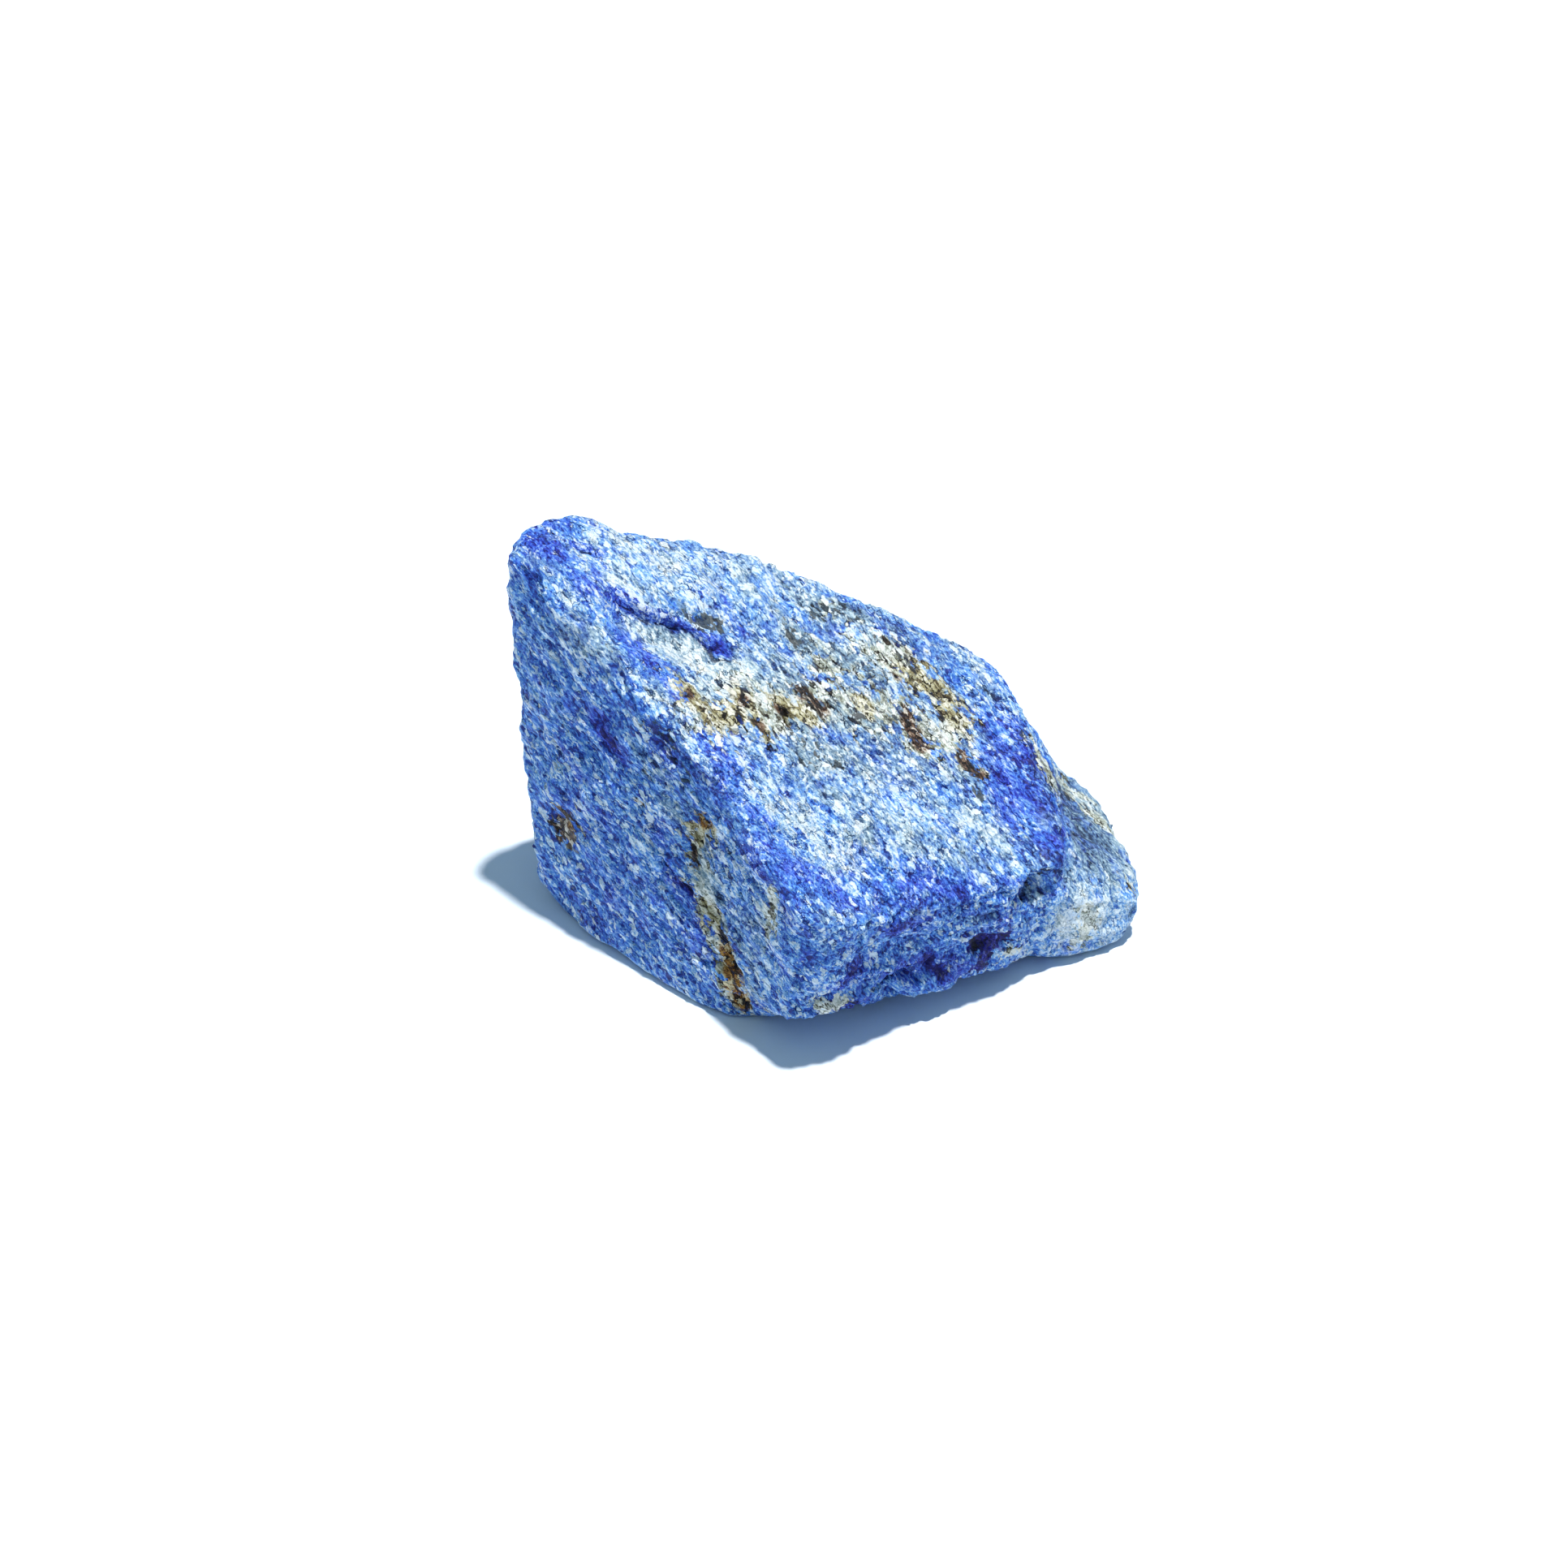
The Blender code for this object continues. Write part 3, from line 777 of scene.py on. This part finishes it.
# The finish. Sizes are in millimetres, and colours are red, green and blue as the eye sees them, 0 to 255.
# In every mix, "start" is a plain number, and the others are the shares of the patterns and of the marks.
finish = {
    "clouds": {
        "cloudy": {"size": 2.2, "stretch": 2.2, "detail": 2.0, "shift": 0.0},
        "mottled": {"size": 0.52, "stretch": 2.4, "detail": 3.0, "shift": 31.0},
        "dusty": {"size": 0.16, "stretch": 2.0, "detail": 2.0, "shift": 57.0},
        "hue": {"size": 1.5, "stretch": 1.6, "detail": 4.0, "shift": 83.0},
        "tint": {"size": 1.9, "stretch": 1.6, "detail": 4.0, "shift": 97.0},
    },
    "crystals": {
        "flake": {"size": 0.32, "stretch": 2.0, "shift": 0.0},
        "grain": {"size": 0.19, "stretch": 1.8, "shift": 13.0},
    },
    "swarm": {"start": 0.85, "cloudy": 2.5, "quiet": -0.6},     # how strong white and dark crystals are
    "leastSwarm": 0.05,
    "darkShares": {"flake": 0.45, "grain": 0.6},                # more of them are white than dark
    "crackWidth": 0.11,
    "crackedWhere": (-0.02, 0.14),
    # Below, "crack" darkens the colour as painted shade in the cracks; in the bumps it only lowers them.
    "pale": {"pale": 1.0, "cloudy": 0.50, "mottled": 0.75, "dusty": 1.90, "flakeTone": 1.5,
             "grainTone": 1.2, "crack": -0.55, "facet": 0.28},
    "tone": {"start": 0.68, "creamy": 0.35, "mottled": 1.5, "dusty": 1.3, "flakeTone": 2.6,
             "grainTone": 1.8, "crack": -1.2, "facet": 0.45, "brown": -0.42},
    "bumps": {"flakeTilt": 0.8, "grainTilt": 0.35, "dusty": 0.25, "crack": -0.3, "crease": -0.6},
    "bumpHeight": 0.30,
    "roughness": (0.40, 0.4),           # the least, and how much a flake's second number adds
    "specular": 0.4,
    # Where each colour lies: its mix, which counts as 0 below the first limit and as 1 above the second.
    "masks": {
        "violet": (-0.1, 0.7, {"violet": 1.0, "tint": 3.0, "third": 0.5}),
        "bleached": (0.0, 1.0, {"bleached": 1.0, "hue": 3.0, "second": 0.5}),
        "bluish": (0.2, 0.9, {"hue": 6.0, "second": 0.8, "grey": 0.7, "brown": -2.0, "creamy": -0.8}),
        "gold": (0.3, 0.6, {"gold": 1.0, "mottled": 0.8, "flakeTone": 0.4, "tint": 2.0}),
        "brown": (0.3, 0.6, {"brown": 1.0, "mottled": 0.8, "flakeTone": 0.4}),
        "rust": (0.3, 0.6, {"rust": 1.0, "mottled": 0.8, "flakeTone": 0.4}),
        "matrix": (0.42, 0.60, {"matrix": 1.0, "mottled": 1.2, "third": 0.7, "grainThird": 0.2}),
        "ink": (0.38, 0.5, {"ink": 1.0, "mottled": 0.9, "third": 0.4}),
        "black": (0.5, 0.6, {"black": 1.0, "dusty": 0.8, "second": 0.9}),
        "offCrease": (0.5, 1.1, {"fromCrease": 1.0, "mottled": 2.5, "dusty": 1.5}),
    },
    "overlay": 0.85,                    # how strongly black specks and the painted dark lines of shade cover the rest
    "blueTones": [(0.00, (14, 42, 128)), (0.16, (30, 75, 176)), (0.34, (52, 109, 206)),
                  (0.50, (80, 140, 218)), (0.66, (116, 169, 226)), (0.82, (162, 200, 235)),
                  (1.00, (212, 228, 244))],
    "violetTones": [(0.00, (12, 12, 98)), (0.20, (28, 48, 174)), (0.50, (66, 108, 212)),
                    (0.75, (126, 159, 226)), (1.00, (206, 216, 238))],
    # The greyed blues, for grey marks and for the painted top light.
    "bleachedTones": [(0.00, (36, 50, 76)), (0.25, (74, 103, 138)), (0.50, (120, 149, 172)),
                      (0.75, (166, 188, 200)), (1.00, (218, 226, 230))],
    "matrixTones": [(0.00, (14, 8, 6)), (0.20, (62, 48, 36)), (0.38, (116, 116, 96)),
                    (0.56, (154, 160, 146)), (0.78, (194, 200, 190)), (1.00, (230, 232, 226))],
    "goldTones": [(0.00, (20, 14, 8)), (0.22, (80, 66, 40)), (0.42, (140, 130, 90)),
                  (0.68, (182, 176, 140)), (1.00, (224, 220, 204))],
    "brownTones": [(0.00, (8, 3, 3)), (0.25, (44, 25, 19)), (0.45, (90, 62, 47)),
                   (0.70, (148, 124, 102)), (1.00, (206, 197, 184))],
    "rustTones": [(0.00, (22, 12, 6)), (0.22, (84, 46, 16)), (0.42, (156, 104, 36)),
                  (0.68, (196, 152, 80)), (1.00, (224, 206, 166))],
    "inkTones": [(0.00, (2, 0, 44)), (0.45, (5, 3, 100)), (0.80, (16, 18, 150)),
                 (1.00, (96, 112, 204))],
    "speckColour": (20, 22, 24),
    "creaseShadeColour": (14, 22, 62),
}


def lightValue(colour):
    # The light that Blender mixes, from what the eye sees: (c / 255 + 0.055) / 1.055, to the power 2.4.
    return tuple(((c / 255 + 0.055) / 1.055) ** 2.4 for c in colour) + (1,)


def feed(tree, socket, value):
    # Joins a socket to another one, or sets it.
    if isinstance(value, bpy.types.NodeSocket):
        tree.links.new(value, socket)
    else:
        socket.default_value = value


def calc(tree, operation, *values):
    made = tree.nodes.new("ShaderNodeMath")
    made.operation = operation
    for socket, value in zip(made.inputs, values):
        feed(tree, socket, value)
    return made.outputs[0]


def vectorCalc(tree, operation, *values):
    made = tree.nodes.new("ShaderNodeVectorMath")
    made.operation = operation
    for socket, value in zip(made.inputs, values):
        feed(tree, socket, value)
    return made.outputs["Value" if operation == "DOT_PRODUCT" else "Vector"]


def mark(tree, name):
    made = tree.nodes.new("ShaderNodeAttribute")
    made.attribute_name = name
    return made.outputs["Fac"]


def mixed(tree, patterns, shares):
    # The start, plus each pattern or mark times its share.
    total = shares.get("start", 0.0)
    for name, share in shares.items():
        if name != "start":
            value = patterns[name] if name in patterns else mark(tree, name)
            total = calc(tree, "MULTIPLY_ADD", value, share, total)
    return total


def tones(tree, value, name):
    stops = finish[name + "Tones"]
    ramp = tree.nodes.new("ShaderNodeValToRGB")
    while len(ramp.color_ramp.elements) < len(stops):
        ramp.color_ramp.elements.new(1.0)
    for element, (place, colour) in zip(ramp.color_ramp.elements, stops):
        element.position = place
        element.color = lightValue(colour)
    feed(tree, ramp.inputs["Fac"], value)
    return ramp.outputs["Color"]


def blend(tree, share, first, second):
    mixed = tree.nodes.new("ShaderNodeMix")
    mixed.data_type = "RGBA"
    feed(tree, mixed.inputs["Factor"], share)
    feed(tree, mixed.inputs[6], first)
    feed(tree, mixed.inputs[7], second)
    return mixed.outputs[2]


def between(tree, low, high, value):
    # 0 below low, 1 above high, straight between.
    made = tree.nodes.new("ShaderNodeMapRange")
    feed(tree, made.inputs["Value"], value)
    made.inputs["From Min"].default_value = low
    made.inputs["From Max"].default_value = high
    return made.outputs["Result"]


def mask(tree, patterns, name):
    low, high, shares = finish["masks"][name]
    return between(tree, low, high, mixed(tree, patterns, shares))


def grainPlace(tree, size, stretch, shift):
    # Object coordinates turned into the grain's axes and divided by a flake's width and length.
    place = tree.nodes.new("ShaderNodeMapping")
    place.vector_type = "TEXTURE"
    turned = Matrix((grainSide, grainRise, grainRun)).transposed()
    place.inputs["Rotation"].default_value = turned.to_euler()
    place.inputs["Location"].default_value = (shift * mm, shift * mm, shift * mm)
    place.inputs["Scale"].default_value = (size * mm, size * mm, size * stretch * mm)
    feed(tree, place.inputs["Vector"], tree.nodes.new("ShaderNodeTexCoord").outputs["Object"])
    return place.outputs["Vector"]


def cloud(tree, size, stretch, detail, shift):
    # Blender's layered noise with its middle at 0: mostly -0.25 to 0.25.
    made = tree.nodes.new("ShaderNodeTexNoise")
    feed(tree, made.inputs["Vector"], grainPlace(tree, size, stretch, shift))
    made.inputs["Scale"].default_value = 1.0
    made.inputs["Detail"].default_value = detail
    made.inputs["Roughness"].default_value = 0.6
    return calc(tree, "SUBTRACT", made.outputs["Fac"], 0.5)


def crystals(tree, size, stretch, shift):
    # Ragged cells. Gives three random numbers of each crystal, from 0 to 1, the height of its tilted face,
    # and the distance to its border.
    place = grainPlace(tree, size, stretch, shift)
    stray = tree.nodes.new("ShaderNodeTexNoise")
    feed(tree, stray.inputs["Vector"], place)
    stray.inputs["Scale"].default_value = 2.0
    stray.inputs["Detail"].default_value = 2.0
    stray = vectorCalc(tree, "MULTIPLY_ADD", stray.outputs["Color"], (1.0, 1.0, 1.0), place)
    cells = tree.nodes.new("ShaderNodeTexVoronoi")
    borders = tree.nodes.new("ShaderNodeTexVoronoi")
    borders.feature = "DISTANCE_TO_EDGE"
    for made in (cells, borders):
        feed(tree, made.inputs["Vector"], stray)
        made.inputs["Scale"].default_value = 1.0
    random = tree.nodes.new("ShaderNodeSeparateColor")
    feed(tree, random.inputs["Color"], cells.outputs["Color"])
    slope = vectorCalc(tree, "SUBTRACT", cells.outputs["Color"], (0.5, 0.5, 0.5))
    fromMiddle = vectorCalc(tree, "SUBTRACT", stray, cells.outputs["Position"])
    return {
        "one": random.outputs["Red"],
        "two": random.outputs["Green"],
        "three": random.outputs["Blue"],
        "tilt": vectorCalc(tree, "DOT_PRODUCT", fromMiddle, slope),
        "border": borders.outputs["Distance"],
    }


def strongOnly(tree, random):
    # From a number of 0 to 1: near 0 for most crystals, down to -0.5 and up to 0.5 for a few. The formula
    # is 16 (r - 0.5)^5.
    middle = calc(tree, "SUBTRACT", random, 0.5)
    square = calc(tree, "MULTIPLY", middle, middle)
    fourth = calc(tree, "MULTIPLY", square, square)
    return calc(tree, "MULTIPLY", calc(tree, "MULTIPLY", fourth, middle), 16.0)


def rockPatterns(tree):
    # The patterns that the finish mixes, by name. Cracks run along some of the flakes' borders, and the
    # finish darkens them as painted shade.
    patterns = {name: cloud(tree, **shape) for name, shape in finish["clouds"].items()}
    kinds = {name: crystals(tree, **shape) for name, shape in finish["crystals"].items()}
    swarm = calc(tree, "MAXIMUM", mixed(tree, patterns, finish["swarm"]), finish["leastSwarm"])
    for name, kind in kinds.items():
        tone = calc(tree, "MULTIPLY", strongOnly(tree, kind["one"]), swarm)
        dark = calc(tree, "MULTIPLY", tone, finish["darkShares"][name])
        patterns[name + "Tone"] = calc(tree, "MAXIMUM", tone, dark)
        patterns[name + "Tilt"] = kind["tilt"]
    flake = kinds["flake"]
    patterns["facet"] = calc(tree, "SUBTRACT", flake["one"], 0.5)
    patterns["second"] = calc(tree, "SUBTRACT", flake["two"], 0.5)
    patterns["third"] = calc(tree, "SUBTRACT", flake["three"], 0.5)
    patterns["grainThird"] = calc(tree, "SUBTRACT", kinds["grain"]["three"], 0.5)
    atBorder = calc(tree, "SUBTRACT", 1.0, between(tree, 0.0, finish["crackWidth"], flake["border"]))
    cracked = between(tree, *finish["crackedWhere"], patterns["mottled"])
    patterns["crack"] = calc(tree, "MULTIPLY", atBorder, cracked)
    return patterns, flake["two"]


def lapisFinish():
    material = bpy.data.materials.new("lapis")
    material.use_nodes = True
    tree = material.node_tree
    surface = tree.nodes["Principled BSDF"]
    patterns, flakeNumber = rockPatterns(tree)

    # The blue rock, more violet in some places and more greyed in others; the violet is also painted shade
    # on the splits' steep faces, the greying also painted top light on faces that look up.
    pale = mixed(tree, patterns, finish["pale"])
    violet = mask(tree, patterns, "violet")
    blue = blend(tree, violet, tones(tree, pale, "blue"), tones(tree, pale, "violet"))
    blue = blend(tree, mask(tree, patterns, "bleached"), blue, tones(tree, pale, "bleached"))

    # The matrix: white, grey, khaki and dark crystals side by side, rusty in places.
    tone = mixed(tree, patterns, finish["tone"])
    bluish = mask(tree, patterns, "bluish")
    # The matrix's bluish crystals take the same grey-blue tones, with no light painted in them.
    rock = blend(tree, bluish, tones(tree, tone, "matrix"), tones(tree, tone, "bleached"))
    for stain in ("gold", "brown", "rust"):
        rock = blend(tree, mask(tree, patterns, stain), rock, tones(tree, tone, stain))
    colour = blend(tree, mask(tree, patterns, "matrix"), blue, rock)

    # Dark blue crystals, black specks and thin dark lines of painted shade lie over the rest.
    colour = blend(tree, mask(tree, patterns, "ink"), colour, tones(tree, pale, "ink"))
    black = calc(tree, "MULTIPLY", mask(tree, patterns, "black"), finish["overlay"])
    colour = blend(tree, black, colour, lightValue(finish["speckColour"]))
    patterns["crease"] = calc(tree, "SUBTRACT", 1.0, mask(tree, patterns, "offCrease"))
    line = calc(tree, "MULTIPLY", patterns["crease"], finish["overlay"])
    colour = blend(tree, line, colour, lightValue(finish["creaseShadeColour"]))
    feed(tree, surface.inputs["Base Color"], colour)
    least, more = finish["roughness"]
    feed(tree, surface.inputs["Roughness"], calc(tree, "MULTIPLY_ADD", flakeNumber, more, least))
    surface.inputs["Specular IOR Level"].default_value = finish["specular"]

    bump = tree.nodes.new("ShaderNodeBump")
    bump.inputs["Strength"].default_value = 1.0
    bump.inputs["Distance"].default_value = finish["bumpHeight"] * mm
    feed(tree, bump.inputs["Height"], mixed(tree, patterns, finish["bumps"]))
    feed(tree, surface.inputs["Normal"], bump.outputs["Normal"])
    return material


stone.data.materials.append(lapisFinish())
say("painted the stone")

stage = {
    "floorSize": 3000.0,
    "floorColour": (0.80, 0.86, 0.92),
    "floorRoughness": 0.9,
    "sunFrom": (0.12, 0.0, 1.0),
    "sunStrength": 4.4,
    "sunAngle": 3.0,
    "skyColour": (0.58, 0.84, 1.0),
    "skyStrength": 0.40,
    "sensorWidth": 36.0,
    "nearestSeen": 10.0,
}


def pointAt(thing, direction):
    thing.rotation_mode = "QUATERNION"
    thing.rotation_quaternion = Vector(direction).to_track_quat("-Z", "Y")


def setTheStage():
    half = stage["floorSize"] / 2 * mm
    floorMesh = bpy.data.meshes.new("floor")
    corners = [(-half, -half, 0), (half, -half, 0), (half, half, 0), (-half, half, 0)]
    floorMesh.from_pydata(corners, [], [(0, 1, 2, 3)])
    floor = bpy.data.objects.new("floor", floorMesh)
    bpy.context.scene.collection.objects.link(floor)
    paint = bpy.data.materials.new("pale floor")
    paint.use_nodes = True
    surface = paint.node_tree.nodes["Principled BSDF"]
    surface.inputs["Base Color"].default_value = (*stage["floorColour"], 1)
    surface.inputs["Roughness"].default_value = stage["floorRoughness"]
    floorMesh.materials.append(paint)
    floor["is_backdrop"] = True

    sun = bpy.data.lights.new("key", "SUN")
    sun.energy = stage["sunStrength"]
    sun.angle = math.radians(stage["sunAngle"])
    sunObject = bpy.data.objects.new("key", sun)
    bpy.context.scene.collection.objects.link(sunObject)
    pointAt(sunObject, [-c for c in stage["sunFrom"]])

    sky = bpy.data.worlds.new("sky")
    sky.use_nodes = True
    background = sky.node_tree.nodes["Background"]
    background.inputs["Color"].default_value = (*stage["skyColour"], 1)
    background.inputs["Strength"].default_value = stage["skyStrength"]
    bpy.context.scene.world = sky

    camera = bpy.data.cameras.new("camera")
    camera.sensor_width = stage["sensorWidth"]
    camera.lens = camera.sensor_width * view["distance"] / view["width"]
    camera.clip_start = stage["nearestSeen"] * mm
    cameraObject = bpy.data.objects.new("camera", camera)
    bpy.context.scene.collection.objects.link(cameraObject)
    look = viewAxes()[0]
    cameraObject.location = (np.array(view["target"]) - look * view["distance"]) * mm
    pointAt(cameraObject, look)
    bpy.context.scene.camera = cameraObject
    bpy.context.scene.view_settings.view_transform = "Standard"


setTheStage()
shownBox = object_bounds()
grown = (np.array(shownBox) - np.array(cadBox)) / mm
say("the box grows by %s mm" % np.round(grown, 2).tolist())
